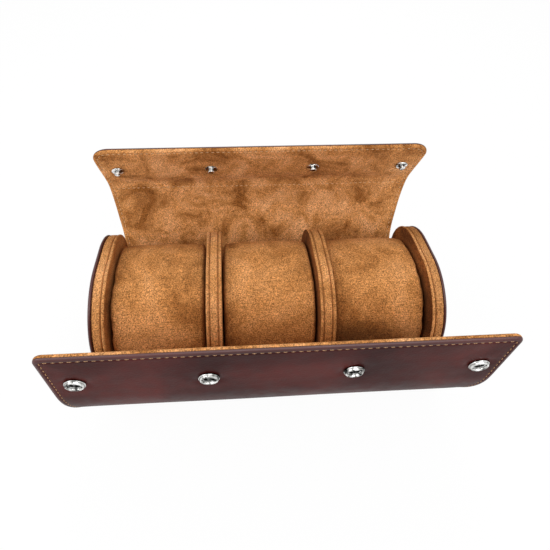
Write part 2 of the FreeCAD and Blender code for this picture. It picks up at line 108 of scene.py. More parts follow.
# End caps and dividers; panels and pillows share one rounded outline
PANEL_HALF_DEPTH = 41.0
PANEL_HEIGHT = 69.0
BOTTOM_RADIUS = 30.0
TOP_RADIUS = 33.0
CASE_HALF = 100.0
CAP_LEATHER = 1.4
CAP_CORE = 5.9
FACE = 1.4
DIVIDER_CORE = 6.3
BEAD = 0.95
BEAD_GROOVE = 0.72
CAP_GROOVE = 0.25
FACE_RIM_ROWS = (5, 17)
SLOT = (2 * CASE_HALF - 2 * (CAP_LEATHER + CAP_CORE + FACE) - 2 * (DIVIDER_CORE + 2 * FACE)) / 3
PITCH = SLOT + DIVIDER_CORE + 2 * FACE

# Pillows
PILLOW_HALF = SLOT / 2 - 0.9
PILLOW_LIMIT = SLOT / 2 - 0.45
PILLOW_DEPTH_INSET = 5.0
PILLOW_TOP_INSET = 6.4
PILLOW_ROUND = 1.8
PILLOW_CROWN = 0.7
PILLOW_VOXEL = 2.8
PILLOW_MOVE = 1.3
PILLOW_FLOOR = SHEET_THICKNESS + 0.3
PILLOW_SEAM = SLOT / 2 - 4.4
PILLOW_PAINTED_SHADE = (0.2, 0.3, 1.0)  # how dark the painted shade of each pillow is at its lower front, under the front flap and by the dividers
CLOTH = {
    "quality": 6, "mass": 0.25, "tension_stiffness": 14, "compression_stiffness": 14, "bending_stiffness": 0.6,
    "use_pressure": True,
}

# Turned pieces, each row a radius, a height and a shade, where a shade below 1 darkens the metal as painted shade in
# bores, grooves and undersides
SOCKET_PROFILE = [
    (2.55, -1.0, 0.03), (2.55, 0.2, 0.05), (2.62, 0.42, 0.2), (2.80, 0.6, 0.9), (3.00, 0.62, 0.7), (3.12, 0.5, 0.12),
    (3.22, 0.7, 0.3), (3.32, 1.1, 0.9), (3.50, 1.4, 1.0), (3.76, 1.58, 1.0), (4.06, 1.5, 1.0), (4.28, 1.2, 0.95),
    (4.40, 0.85, 0.7), (4.49, 0.66, 0.25), (4.59, 0.6, 0.6), (4.75, 0.56, 1.0), (4.89, 0.38, 0.9), (4.92, 0.15, 0.5),
    (4.83, -0.1, 0.2), (3.29, -0.1, 0.2), (3.29, -1.0, 0.2),
]
STUD_PROFILE = [
    (0.01, -1.2, 0.3), (1.4, -1.2, 0.3), (1.4, -0.1, 0.3), (3.75, -0.1, 0.3), (3.95, 0.1, 0.7), (4.0, 0.35, 1.0),
    (3.85, 0.6, 1.0), (3.5, 0.7, 1.0), (2.4, 0.72, 0.7), (1.95, 0.85, 0.12), (1.75, 1.15, 0.25), (1.72, 1.5, 0.5),
    (1.85, 1.9, 0.9), (2.1, 2.3, 1.0), (2.12, 2.6, 1.0), (1.95, 2.85, 1.0), (1.6, 3.0, 1.0), (1.0, 3.06, 1.0),
    (0.01, 3.08, 1.0),
]
CAP_PROFILE = [
    (0.01, -0.1, 0.3), (5.2, -0.1, 0.3), (5.45, 0.05, 0.5), (5.5, 0.3, 0.9), (5.35, 0.62, 1.0), (4.9, 0.95, 1.0),
    (4.1, 1.25, 1.0), (3.0, 1.46, 1.0), (1.6, 1.58, 1.0), (0.01, 1.6, 1.0),
]
PLATE_PROFILE = [
    (0.01, 0.0, 0.5), (4.2, 0.0, 0.5), (4.35, 0.1, 0.8), (4.4, 0.3, 1.0), (4.35, 0.5, 1.0), (4.2, 0.6, 1.0),
    (0.01, 0.6, 1.0),
]
# Name, solid, profile, flap, height from the suede, facing in or out, finish, slot
FASTENERS = (
    ("socket_rings", "snap_sockets", SOCKET_PROFILE, "front", -SHEET_THICKNESS, -1, "metal", "chrome_metal"),
    ("socket_plates", "socket_backing_plates", PLATE_PROFILE, "front", -LINING_THICKNESS, 1, "plate", "steel"),
    ("stud_posts", "snap_studs", STUD_PROFILE, "back", 0.0, 1, "metal", "chrome_metal"),
    ("stud_caps", "snap_caps", CAP_PROFILE, "back", -SHEET_THICKNESS, -1, "metal", "chrome_metal"),
)

# Stage: the photograph's view, fitted to the edges of the panels and flaps and to the press studs
PHOTO_PIXELS = 550.0
CAMERA_SPOT = (-23.170, -220.799, 278.639)
CAMERA_YAW, CAMERA_PITCH, CAMERA_ROLL = 0.0811, 0.5910, 0.0232
CAMERA_FOCAL, CAMERA_SHIFT = 502.812, (14.264, -103.42)  # in pixels
SENSOR = 36.0
FLOOR_HALF = 2500.0
FLOOR_DROP = -0.02


# ---- Plain helpers


def smooth_step(t):
    t = np.clip(t, 0.0, 1.0)
    return t * t * (3.0 - 2.0 * t)


def bell(distance, width):
    return np.exp(-(np.asarray(distance) / width) ** 2)


def rolled(d, radius):
    """How far a surface or outline draws back at a distance d from an edge that is round by this radius."""
    edge = np.clip(radius - d, 0.0, radius)
    return radius - np.sqrt(radius ** 2 - edge ** 2)


def box_filter(values, width):
    """A moving average that keeps the ends."""
    width = max(1, int(width) | 1)
    padded = np.pad(values, width // 2, mode="edge")
    return np.convolve(padded, np.ones(width) / width, mode="valid")


def placed(name, data):
    """A new object of the scene that holds this data."""
    piece = bpy.data.objects.new(name, data)
    bpy.context.scene.collection.objects.link(piece)
    return piece


def make_mesh(name, points, faces, finish=None, smooth=True):
    """An object at the origin whose mesh holds these points in millimetres."""
    mesh = bpy.data.meshes.new(name)
    mesh.from_pydata((np.asarray(points, float) * MM).tolist(), [], faces)
    mesh.validate()
    shade(mesh, smooth)
    if finish is not None:
        mesh.materials.append(finish)
    return placed(name, mesh)


def shade(mesh, smooth=True):
    mesh.polygons.foreach_set("use_smooth", [smooth] * len(mesh.polygons))


def set_values(piece, key, values, kind="FLOAT", field="value"):
    """Stores a number or a direction per point, for materials and node trees to read."""
    attribute = piece.data.attributes.new(key, kind, "POINT")
    attribute.data.foreach_set(field, np.asarray(values, np.float32).ravel())


def evaluated_mesh(piece):
    """The piece's mesh with its modifiers applied."""
    bpy.context.view_layer.update()
    graph = bpy.context.evaluated_depsgraph_get()
    return bpy.data.meshes.new_from_object(piece.evaluated_get(graph))


def point_outwards(piece):
    """Recalculates the normals of a closed mesh."""
    work = bmesh.new()
    work.from_mesh(piece.data)
    bmesh.ops.remove_doubles(work, verts=work.verts, dist=1e-7)
    bmesh.ops.recalc_face_normals(work, faces=work.faces)
    work.to_mesh(piece.data)
    work.free()
    piece.data.update()


def grid_faces(rows, columns, start, flip):
    """Quads of a grid of points stored row by row."""
    index = start + np.arange(rows * columns).reshape(rows, columns)
    quads = np.stack([index[:-1, :-1], index[:-1, 1:], index[1:, 1:], index[1:, :-1]], -1).reshape(-1, 4)
    return (quads[:, ::-1] if flip else quads).tolist()


def ring_faces(rings, count, closed=False):
    """Quads between rings of the same number of points."""
    faces = []
    for r in range(rings if closed else rings - 1):
        a, b = r * count, ((r + 1) % rings) * count
        for k in range(count):
            n = (k + 1) % count
            faces.append((a + k, a + n, b + n, b + k))
    return faces


def end_faces(rings, count):
    """The first and the last face of a stack of rings."""
    last = (rings - 1) * count
    return [tuple(range(count)), tuple(range(last, last + count))]


def settle(piece, body, slot, *nodes):
    """Says what a finished piece moves with and which solids it replaces. The slot, what it is made of, is not used.
    """
    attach(piece, body)
    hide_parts(*nodes)


# ---- Materials


def linear(hex_colour):
    """A linear colour from an sRGB hex value."""
    value = hex_colour.lstrip("#")
    channels = [int(value[i:i + 2], 16) / 255 for i in (0, 2, 4)]
    return tuple(c / 12.92 if c <= 0.04045 else ((c + 0.055) / 1.055) ** 2.4 for c in channels) + (1.0,)


def feed(tree, node, inputs):
    """Gives each input a socket to link or a plain value."""
    for key, value in inputs.items():
        if isinstance(value, bpy.types.NodeSocket):
            tree.links.new(value, node.inputs[key])
        else:
            node.inputs[key].default_value = value


def add(tree, kind, inputs=None, **settings):
    """Adds a node with its settings and its inputs."""
    node = tree.nodes.new(kind)
    for key, value in settings.items():
        setattr(node, key, value)
    feed(tree, node, inputs or {})
    return node


def per_size(size_mm):
    """A noise scale for a pattern of this real size, on coordinates in metres."""
    return 1000.0 / size_mm


def new_material(name):
    """A plain material, its tree, its shader, and the Object coordinates for its patterns."""
    made = bpy.data.materials.new(name)
    made.use_nodes = True
    tree = made.node_tree
    tree.nodes.clear()
    shader = add(tree, "ShaderNodeBsdfPrincipled")
    add(tree, "ShaderNodeOutputMaterial", {"Surface": shader.outputs["BSDF"]})
    return made, tree, shader, add(tree, "ShaderNodeTexCoord").outputs["Object"]


def noise(tree, place, size_mm, detail=2.0, roughness=0.5, distortion=0.0):
    inputs = {"Scale": per_size(size_mm), "Detail": detail, "Roughness": roughness, "Distortion": distortion}
    return add(tree, "ShaderNodeTexNoise", {**inputs, "Vector": place}).outputs["Fac"]


def stripes(tree, place, size_mm, direction, inputs):
    """Bands this far apart; the texture repeats every 0.31 of a unit at scale 1."""
    inputs = {"Scale": per_size(size_mm) / 6.283 * 2.0, "Vector": place, **inputs}
    return add(tree, "ShaderNodeTexWave", inputs, wave_type="BANDS", bands_direction=direction).outputs["Fac"]


def ranged(tree, value, low, high, start=0.0, end=1.0):
    """Stretches a value from start and end to low and high."""
    inputs = {"Value": value, "From Min": start, "From Max": end, "To Min": low, "To Max": high}
    return add(tree, "ShaderNodeMapRange", inputs).outputs["Result"]


def calculated(tree, operation, *terms):
    return add(tree, "ShaderNodeMath", dict(enumerate(terms)), operation=operation).outputs["Value"]


def stored(tree, key):
    """The number that each point of a piece carries under this name, 0 where it has none."""
    return add(tree, "ShaderNodeAttribute", attribute_name=key).outputs["Fac"]


def colour_ramp(tree, factor, stops):
    ramp = add(tree, "ShaderNodeValToRGB", {"Fac": factor})
    elements = ramp.color_ramp.elements
    while len(elements) > 1:
        elements.remove(elements[-1])
    elements[0].position, elements[0].color = stops[0][0], linear(stops[0][1])
    for position, colour in stops[1:]:
        elements.new(position).color = linear(colour)
    return ramp.outputs["Color"]


def mixed(tree, kind, factor, first, second):
    inputs = {0: factor, 6: first, 7: second}
    return add(tree, "ShaderNodeMix", inputs, data_type="RGBA", blend_type=kind, clamp_result=True).outputs[2]


def tinted(tree, colour, value):
    """A colour made lighter or darker by a value."""
    grey = add(tree, "ShaderNodeCombineColor", {"Red": value, "Green": value, "Blue": value}).outputs["Color"]
    return mixed(tree, "MULTIPLY", 1.0, colour, grey)


def relief(tree, height, strength, distance):
    inputs = {"Strength": strength, "Distance": distance, "Height": height}
    return add(tree, "ShaderNodeBump", inputs).outputs["Normal"]


def microsuede(tree, place, light, middle, dark, blotch_mm, knit_axis, shift):
    """Brushed polyester microsuede: a matte nap whose direction gives broad light and dark patches,
    with short clumped fibres that read as a fine speckle, here 0.6 mm because finer would not show."""
    moved = {"Vector": place, "Location": (shift * 0.037, shift * 0.051, shift * 0.023)}
    place = add(tree, "ShaderNodeMapping", moved).outputs["Vector"]
    patches = noise(tree, place, blotch_mm, 4.0, 0.6, 0.6)
    base = colour_ramp(tree, patches, [(0.36, dark), (0.50, middle), (0.66, light)])
    fibres = noise(tree, place, 0.62, 1.0, 0.6)
    speckle = ranged(tree, fibres, 0.38, 1.42, 0.32, 0.66)
    value = calculated(tree, "MULTIPLY", speckle, ranged(tree, noise(tree, place, 1.8), 0.88, 1.09, 0.35, 0.65))
    if knit_axis is not None:
        # the fleece is knitted: rows of loops about 1.3 mm apart, drawn as coarse as they need to show
        rows = stripes(tree, place, 1.3, knit_axis, {"Distortion": 2.2, "Detail": 2.0, "Detail Scale": 0.6})
        value = calculated(tree, "MULTIPLY", value, ranged(tree, rows, 0.93, 1.05))
    # painted shade: darkens the suede down to 0.34 where the points carry this value
    value = calculated(tree, "MULTIPLY", value, ranged(tree, stored(tree, "painted_shade"), 1.0, 0.34))
    return {
        "Base Color": tinted(tree, base, value), "Normal": relief(tree, fibres, 0.7, 0.0007), "Roughness": 0.95,
        "Specular IOR Level": 0.15, "Sheen Weight": 0.12, "Sheen Roughness": 0.45, "Sheen Tint": linear(light),
    }


def smooth_leather(tree, place, light, middle, dark):
    """Finished cowhide: dyed through, lightly waxed, so a soft broad gloss over a fine pore grain of
    about 1 mm and slow changes of colour along the hide. The cut rims are burnished and shine more,
    and their colour is lightened towards the light tone as a painted highlight."""
    hide = noise(tree, place, 48.0, 4.0, 0.55, 0.4)
    cloud = noise(tree, place, 7.0, 3.0, 0.6)
    base = colour_ramp(tree, hide, [(0.36, dark), (0.52, middle), (0.68, light)])
    dyed = tinted(tree, base, ranged(tree, cloud, 0.86, 1.12, 0.3, 0.7))
    rim = stored(tree, "rim")
    pores = {"Scale": per_size(1.1), "Randomness": 1.0, "Vector": place}
    pores = add(tree, "ShaderNodeTexVoronoi", pores, feature="SMOOTH_F1").outputs["Distance"]
    grain = calculated(tree, "MULTIPLY_ADD", noise(tree, place, 0.7), 0.5, pores)
    return {
        # painted highlight: the rims' colour is mixed up to halfway towards the light tone
        "Base Color": mixed(tree, "MIX", calculated(tree, "MULTIPLY", rim, 0.5), dyed, linear(light)),
        "Normal": relief(tree, grain, 0.10, 0.0004), "Roughness": ranged(tree, cloud, 0.40, 0.50, 0.3, 0.7),
        "Specular IOR Level": ranged(tree, rim, 0.05, 0.55),
    }


def polished_metal(tree, place, colour, roughness):
    """Plated metal, tumbled bright, with scuffs of about 0.4 mm. Dark and near-white patches of 4.5 mm are a
    painted reflection of the dark and bright parts of a room that so small a mirror shows, and the recesses carry
    painted shade."""
    room = noise(tree, place, 4.5, 1.0, distortion=1.6)
    # painted reflection: dark and near-white patches of a room mirrored in the metal
    painted_reflection = colour_ramp(tree, room, [(0.31, "#181818"), (0.37, "#787876"), (0.44, colour), (0.62, "#FAFAF8")])
    return {
        # painted shade: each turned row's shade value darkens bores, grooves and undersides
        "Base Color": tinted(tree, painted_reflection, stored(tree, "shade")), "Metallic": 1.0,
        "Roughness": ranged(tree, noise(tree, place, 0.4, 3.0), roughness * 0.7, roughness * 1.5),
    }


def plain_stock(tree, place, light, dark, grain_mm, roughness):
    """Hidden stock, such as grey board or open-cell foam: a speckled matte surface."""
    speckle = noise(tree, place, grain_mm, 3.0)
    return {
        "Base Color": colour_ramp(tree, speckle, [(0.4, dark), (0.6, light)]),
        "Normal": relief(tree, speckle, 0.3, 0.0002), "Roughness": roughness,
    }


def sewing_thread(tree, place, light, dark):
    """Bonded polyester thread, twisted: a low gloss with the twist as a fine light and dark stripe."""
    twist = stripes(tree, place, 0.5, "DIAGONAL", {"Distortion": 1.0})
    return {"Base Color": colour_ramp(tree, twist, [(0.2, dark), (0.8, light)]), "Roughness": 0.6}


# Name of each finish, its recipe and the values that the recipe takes
FINISHES = {
    "lining": ("Microsuede_Lining", microsuede, "#E0A46E", "#C68950", "#8E5828", 22.0, None, 6.0),
    "panel": ("Microsuede_Panel", microsuede, "#D89C66", "#C88C54", "#AC733E", 30.0, "X", 3.0),
    # painted shade: the faces take darker copies of the panel suede, and faces turned towards -X a darker one still
    "face": ("Microsuede_Face_Painted_Shade", microsuede, "#C88A50", "#AA6E3B", "#7F4E25", 30.0, None, 5.0),
    "face_painted_deeper_shade": ("Microsuede_Face_Painted_Deeper_Shade", microsuede, "#985E30", "#7C4A24", "#583216", 30.0, None, 5.0),
    "pillow": ("Microsuede_Pillow", microsuede, "#D2955C", "#BF834A", "#9C6533", 30.0, "Z", 8.0),
    "leather": ("Cowhide_Leather", smooth_leather, "#4C1F1C", "#3A1412", "#2B0C0B"),
    "metal": ("Nickel_Plated_Brass", polished_metal, "#B9B8B4", 0.14),
    "plate": ("Zinc_Plated_Steel", polished_metal, "#B4B4B6", 0.3),
    "thread": ("Polyester_Thread", sewing_thread, "#AA845A", "#7E5838"),
    "lining_thread": ("Polyester_Thread_Light", sewing_thread, "#E2B98C", "#B98F60"),
    "board": ("Grey_Board", plain_stock, "#A39C8E", "#857E70", 0.8, 0.9),
    "foam": ("Polyurethane_Foam", plain_stock, "#E6DFC9", "#CFC7AE", 0.5, 1.0),
}


@cache
def material(key):
    """A finish of the case, made when it is first asked for."""
    name, recipe, *values = FINISHES[key]
    made, tree, shader, place = new_material(name)
    feed(tree, shader, recipe(tree, place, *values))
    return made


# ---- The sheet's section and width


class Sheet:
    """One flap: the suede side's line from the base hinge outwards, with half the sheet's width along it."""

    STEP = 0.05
    LEAD = 12.0
    TURN_SOFTENING = 2.4
    WIDTH_SOFTENING = 14.0

    def __init__(self, side, run, crease=0.0, corner=BACK_CORNER):
        self.side = side
        self.front = side < 0
        self.run = run
        self.corner = corner
        self.marks = np.concatenate([[0.0], np.cumsum([piece[1] for piece in run])])
        self.end = float(self.marks[-1])
        self.is_flap = len(run) > 2
        if self.is_flap:
            self.strip = float(self.marks[-3])
            self.snap_row = self.strip + (FRONT_SNAP_OFFSET if self.front else BACK_SNAP_OFFSET)
        self.s = np.arange(-self.LEAD, self.end + self.LEAD, self.STEP)
        turn = np.radians(crease) * (self.s >= 0)
        for low, piece in zip(self.marks, run):
            turn = turn + np.radians(piece[2]) * np.clip((self.s - low) / piece[1], 0.0, 1.0)
        self.turn = box_filter(turn, self.TURN_SOFTENING / self.STEP)
        step_y = self.side * np.cos(self.turn) * self.STEP
        step_z = np.sin(self.turn) * self.STEP
        y = np.concatenate([[0.0], np.cumsum((step_y[1:] + step_y[:-1]) / 2)])
        z = np.concatenate([[0.0], np.cumsum((step_z[1:] + step_z[:-1]) / 2)])
        self.y = y + self.side * (BASE_HALF_DEPTH - self.LEAD)
        self.z = z + SHEET_THICKNESS
        knots = [(-self.LEAD, BASE_HALF_WIDTH), (0.0, BASE_HALF_WIDTH)]
        knots += [(mark, piece[3]) for mark, piece in zip(self.marks[1:], run)]
        width = np.interp(self.s, [k[0] for k in knots], [k[1] for k in knots])
        self.width_table = box_filter(width, self.WIDTH_SOFTENING / self.STEP)

    def at(self, s):
        return np.interp(s, self.s, self.y), np.interp(s, self.s, self.z), np.interp(s, self.s, self.turn)

    def width(self, s):
        return np.interp(s, self.s, self.width_table)

    def edge_distance(self, x, s):
        """How far a point of the sheet lies from its outline, whose free corners are round."""
        wide = self.width(s)
        over_x = np.abs(x) - (wide - self.corner)
        over_s = s - (self.end - self.corner)
        round_part = self.corner - np.hypot(np.maximum(over_x, 0), np.maximum(over_s, 0))
        straight = np.minimum(wide - np.abs(x), self.end - s)
        return np.where((over_x > 0) & (over_s > 0), round_part, straight)

    def row_half(self, s):
        """Half the length of the row at s, drawn in at the round corners."""
        return self.width(s) - rolled(self.end - s, self.corner)

    def place(self, x, s, height):
        """Points of the sheet in the object's frame; height is along the inward normal."""
        y, z, a = self.at(s)
        return np.stack([x, y - self.side * np.sin(a) * height, z + np.cos(a) * height], -1)

    def inwards(self, s):
        """The direction from the leather to the suede."""
        a = self.at(s)[2]
        return np.stack([np.zeros_like(a), -self.side * np.sin(a), np.cos(a)], -1)


class Base(Sheet):
    """The flat middle of the sheet, from -20 to 20 along Y."""

    def __init__(self):
        super().__init__(1, [("case", 2 * BASE_SKIN_HALF, 0.0, BASE_HALF_WIDTH)])

    def at(self, s):
        return s - BASE_SKIN_HALF, np.full_like(s, SHEET_THICKNESS), np.zeros_like(s)

    def width(self, s):
        return np.full_like(s, BASE_HALF_WIDTH)

    def edge_distance(self, x, s):
        return BASE_HALF_WIDTH - np.abs(x)

    def row_half(self, s):
        return self.width(s)


def flap_sheet(word):
    if word == "front":
        return Sheet(-1, FRONT_RUN, 0.0, FRONT_CORNER)
    return Sheet(1, BACK_RUN, BACK_CREASE, BACK_CORNER)


def leather_outside(sheet, x, s, d):
    """Height of the leather's outer surface: a turned edge, a sewn channel and the pull of the studs."""
    h = -SHEET_THICKNESS + rolled(d, LEATHER_EDGE_RADIUS)
    h = h - 0.18 * bell(d - 1.6, 0.8) + 0.24 * bell(d - STITCH_INSET, 0.42)
    if not sheet.is_flap:
        return np.maximum(h, -SHEET_THICKNESS)
    for number, place in enumerate(SNAP_PLACES):
        dx, ds = x - place, s - sheet.snap_row
        r = np.hypot(dx, ds)
        folds = 1.0 + 0.5 * np.cos(np.arctan2(ds, dx) * 3 + number * 1.3) * (r > 5)
        h = h + 0.38 * bell(r - 4.6, 2.6) * folds * (r < 14)
        if sheet.front:  # a hole below each socket takes the stud
            h = h + 1.1 * smooth_step((3.4 - r) / 0.9)
    h = h + 0.10 * np.sin(x * 0.055 + s * 0.05) * np.sin(s * 0.09 + 0.6) * smooth_step((d - 4) / 8)
    return np.maximum(h, -SHEET_THICKNESS - 0.3 * smooth_step((s - 3.0) / 10.0))


def lining_inside(sheet, x, s, d):
    """Height of the suede surface: a full rolled edge, a seam line, and a soft crease below the studs."""
    h = -rolled(d, LINING_EDGE_RADIUS) + 0.12 * bell(d - 1.5, 0.6)
    h = h - 0.36 * bell(d - STITCH_INSET, 0.5)
    if not sheet.is_flap:
        return h
    inside = smooth_step((d - 3.0) / 6.0)
    if not sheet.front:
        wave = np.sin(x * 0.043 + 0.7) + 0.6 * np.sin(x * 0.097 + 2.1)
        crease = bell(s - (sheet.strip - 4.5 + 0.8 * wave), 5.5)
        h = h - 1.35 * crease * inside * (0.85 + 0.15 * np.sin(x * 0.06))
        h = h - 0.22 * bell(s - (sheet.strip - CROSS_ROW), 0.5) * inside
    h = h + 0.16 * np.sin(x * 0.071 + s * 0.03) * np.sin(s * 0.11 + x * 0.02) * inside
    for place in SNAP_PLACES:
        r = np.hypot(x - place, s - sheet.snap_row)
        h = h - 0.25 * bell(r - 3.5, 2.5) * (r < 12)
    return h


def skin_points(sheet, low, high, fine):
    """Places across and along one stretch of the sheet, closer together near its edges."""
    rows = np.linspace(low, high, max(3, int(round((high - low) / ROW_STEP)) + 1))
    if sheet.is_flap and high >= sheet.end - 1e-6:
        plain = np.linspace(low, high - EDGE_BAND, int((high - EDGE_BAND - low) / ROW_STEP) + 1)
        rows = np.concatenate([plain, high - np.array(EDGE_STEPS[::-1])])
    middle = np.linspace(-1.0, 1.0, FINE_COLUMNS if fine else COLUMNS)[1:-1]
    half = sheet.row_half(rows)[:, None]
    left = np.array(EDGE_STEPS) - half
    x = np.concatenate([left, middle * (half - EDGE_STEPS[-1]), -left[:, ::-1]], 1)
    return x, np.repeat(rows[:, None], x.shape[1], 1)


def layer_piece(name, sheet, low, high, layer, fine):
    """One closed stretch of the leather or of the lining."""
    x, s = skin_points(sheet, low, high, fine)
    d = np.maximum(sheet.edge_distance(x, s), 0.0)
    # both layers draw back where they meet, so that a dark line shows at the edge
    if layer == "leather":
        top, bottom = -LINING_THICKNESS - 0.2 * bell(d, 0.25), leather_outside(sheet, x, s, d)
    else:
        top, bottom = lining_inside(sheet, x, s, d), -LINING_THICKNESS + 0.12 * bell(d, 0.25)
    rows, columns = x.shape
    count = rows * columns
    points = np.concatenate([sheet.place(x, s, height).reshape(-1, 3) for height in (top, bottom)])
    faces = grid_faces(rows, columns, 0, sheet.front) + grid_faces(rows, columns, count, not sheet.front)
    index = np.arange(count).reshape(rows, columns)
    border = np.concatenate([index[0, :], index[1:, -1], index[-1, -2::-1], index[-2:0:-1, 0]])
    following = np.roll(border, -1)
    walls = np.stack([border, border + count, following + count, following], -1)
    faces += (walls[:, ::-1] if sheet.front else walls).tolist()
    piece = make_mesh(name, points, faces, material(layer))
    # rim value: the leather's painted highlight and stronger shine near its edges
    if layer == "leather":
        set_values(piece, "rim", np.tile(bell(d, 1.3).ravel(), 2))
    step = dict(zip(border.tolist(), following.tolist()))
    for edge in piece.data.edges:
        a, b = (vertex % count for vertex in edge.vertices)
        edge.use_edge_sharp = step.get(a, -1) == b or step.get(b, -1) == a
    return piece


# ---- Instances: one tree for stitches and one for fasteners


def new_group(name, sockets):
    """A geometry node tree, its input node, and the identifier of each named input."""
    tree = bpy.data.node_groups.new(name, "GeometryNodeTree")
    tree.interface.new_socket("Geometry", in_out="INPUT", socket_type="NodeSocketGeometry")
    keys = {}
    for label, kind in sockets.items():
        keys[label] = tree.interface.new_socket(label, in_out="INPUT", socket_type="NodeSocket" + kind).identifier
    tree.interface.new_socket("Geometry", in_out="OUTPUT", socket_type="NodeSocketGeometry")
    return tree, add(tree, "NodeGroupInput"), keys


def turned_copies(tree, points, source, finish, inputs):
    """Real copies on points in one material, X along the points' 'along' and Z towards their 'up'."""
    along, up = (add(tree, "GeometryNodeInputNamedAttribute", {"Name": key}, data_type="FLOAT_VECTOR")
                 .outputs["Attribute"] for key in ("along", "up"))
    turn = add(tree, "FunctionNodeAlignRotationToVector", {"Vector": along}, axis="X").outputs["Rotation"]
    turn = add(tree, "FunctionNodeAlignRotationToVector", {"Rotation": turn, "Vector": up}, axis="Z", pivot_axis="X")
    inputs = {"Points": points, "Instance": source, "Rotation": turn.outputs["Rotation"], **inputs}
    copies = add(tree, "GeometryNodeInstanceOnPoints", inputs).outputs["Instances"]
    real = add(tree, "GeometryNodeRealizeInstances", {"Geometry": copies}).outputs["Geometry"]
    done = add(tree, "GeometryNodeSetMaterial", {"Geometry": real, "Material": finish}).outputs["Geometry"]
    add(tree, "NodeGroupOutput", {"Geometry": done})


def stitch_tree():
    """Geometry nodes that sew one short rounded stitch at each point, each a little longer or shorter."""
    sockets = {"Stitch Length": "Float", "Thread Thickness": "Float", "Seed": "Int", "Thread": "Material"}
    tree, entry, keys = new_group("Stitches", sockets)
    given = entry.outputs
    ball = add(tree, "GeometryNodeMeshUVSphere", {"Segments": 8, "Rings": 6, "Radius": 0.5})
    spread = add(tree, "FunctionNodeRandomValue", {"Seed": given["Seed"]}, data_type="FLOAT")
    for key, value in (("Min", 0.9), ("Max", 1.08)):
        next(i for i in spread.inputs if i.name == key and i.enabled).default_value = value
    varied = next(o for o in spread.outputs if o.enabled)
    long = calculated(tree, "MULTIPLY", given["Stitch Length"], varied)
    thick = given["Thread Thickness"]
    scale = add(tree, "ShaderNodeCombineXYZ", {"X": long, "Y": thick, "Z": thick}).outputs["Vector"]
    turned_copies(tree, given["Geometry"], ball.outputs["Mesh"], given["Thread"], {"Scale": scale})
    return tree, keys


def fastener_tree():
    """Geometry nodes that set one turned metal piece at each point."""
    tree, entry, keys = new_group("Fasteners", {"Turned Piece": "Object", "Metal": "Material"})
    turned = add(tree, "GeometryNodeObjectInfo", {"Object": entry.outputs["Turned Piece"]}).outputs["Geometry"]
    turned_copies(tree, entry.outputs["Geometry"], turned, entry.outputs["Metal"], {})
    return tree, keys


def baked(name, tree, values, places, along, up):
    """The tree's result on these places as a plain mesh; along and up turn its copies."""
    source = make_mesh(name + "_places", places, [])
    set_values(source, "along", along, "FLOAT_VECTOR", "vector")
    set_values(source, "up", up, "FLOAT_VECTOR", "vector")
    modifier = source.modifiers.new("Nodes", "NODES")
    modifier.node_group = tree
    for identifier, value in values.items():
        modifier[identifier] = value
    mesh = evaluated_mesh(source)
    mesh.name = name
    bpy.data.objects.remove(source)
    shade(mesh)
    for key in ("along", "up"):
        if key in mesh.attributes:
            mesh.attributes.remove(mesh.attributes[key])
    return placed(name, mesh)


def sew(name, group, settings, seed, thread, rows):
    """Stitches on rows of (places, directions, upward directions)."""
    tree, keys = group
    values = {
        keys["Stitch Length"]: settings.stitch_length * MM, keys["Thread Thickness"]: settings.thread_thickness * MM,
        keys["Seed"]: seed, keys["Thread"]: material(thread),
    }
    return baked(name, tree, values, *(np.concatenate(part) for part in zip(*rows)))


def stitch_line(sheet, pitch, cross=None):
    """Stitch centres along the sheet's outline, or straight across it at one s: x, s, and their direction."""
    if cross is not None:
        half = float(sheet.width(np.array([cross]))[0]) - STITCH_INSET - 1.5
        x = np.linspace(-half, half, 800)
        path = np.stack([x, np.full_like(x, cross)], -1)
    else:
        radius = max(SMALLEST_STITCH_CORNER, sheet.corner - STITCH_INSET)
        s = np.linspace(FLAP_START, sheet.end - STITCH_INSET - radius, 400)
        side = np.stack([sheet.width(s) - STITCH_INSET, s], -1)
        a = np.linspace(0, math.pi / 2, 60)[1:]
        wide = float(sheet.width(np.array([sheet.end]))[0])
        far = np.array([wide - STITCH_INSET, sheet.end - STITCH_INSET])
        corner = far - radius * (1 - np.stack([np.cos(a), np.sin(a)], -1))
        half_path = np.concatenate([side, corner])
        path = np.concatenate([half_path, (half_path * [-1, 1])[::-1]])
    length = np.concatenate([[0.0], np.cumsum(np.linalg.norm(np.diff(path, axis=0), axis=1))])

    def along(where):
        return np.stack([np.interp(where, length, path[:, axis]) for axis in (0, 1)], -1)

    count = int(length[-1] / pitch)
    where = (np.arange(count) + 0.5) * length[-1] / count
    x, s = along(where).T
    step = along(where + 0.2) - along(where - 0.2)
    return x, s, step / np.linalg.norm(step, axis=1)[:, None]


# ---- Turned metal and rounded panels


def lathe(name, profile, segments=48):
    """A turned piece about its own Z from rows of radius, height and painted shade."""
    angles = np.linspace(0, 2 * math.pi, segments, endpoint=False)
    rings = [np.stack([r * np.cos(angles), r * np.sin(angles), np.full_like(angles, z)], -1) for r, z, _ in profile]
    first, last = end_faces(len(profile), segments)
    piece = make_mesh(name, np.concatenate(rings), ring_faces(len(profile), segments) + [first[::-1], last])
    set_values(piece, "shade", np.repeat([row[2] for row in profile], segments))
    point_outwards(piece)
    return piece


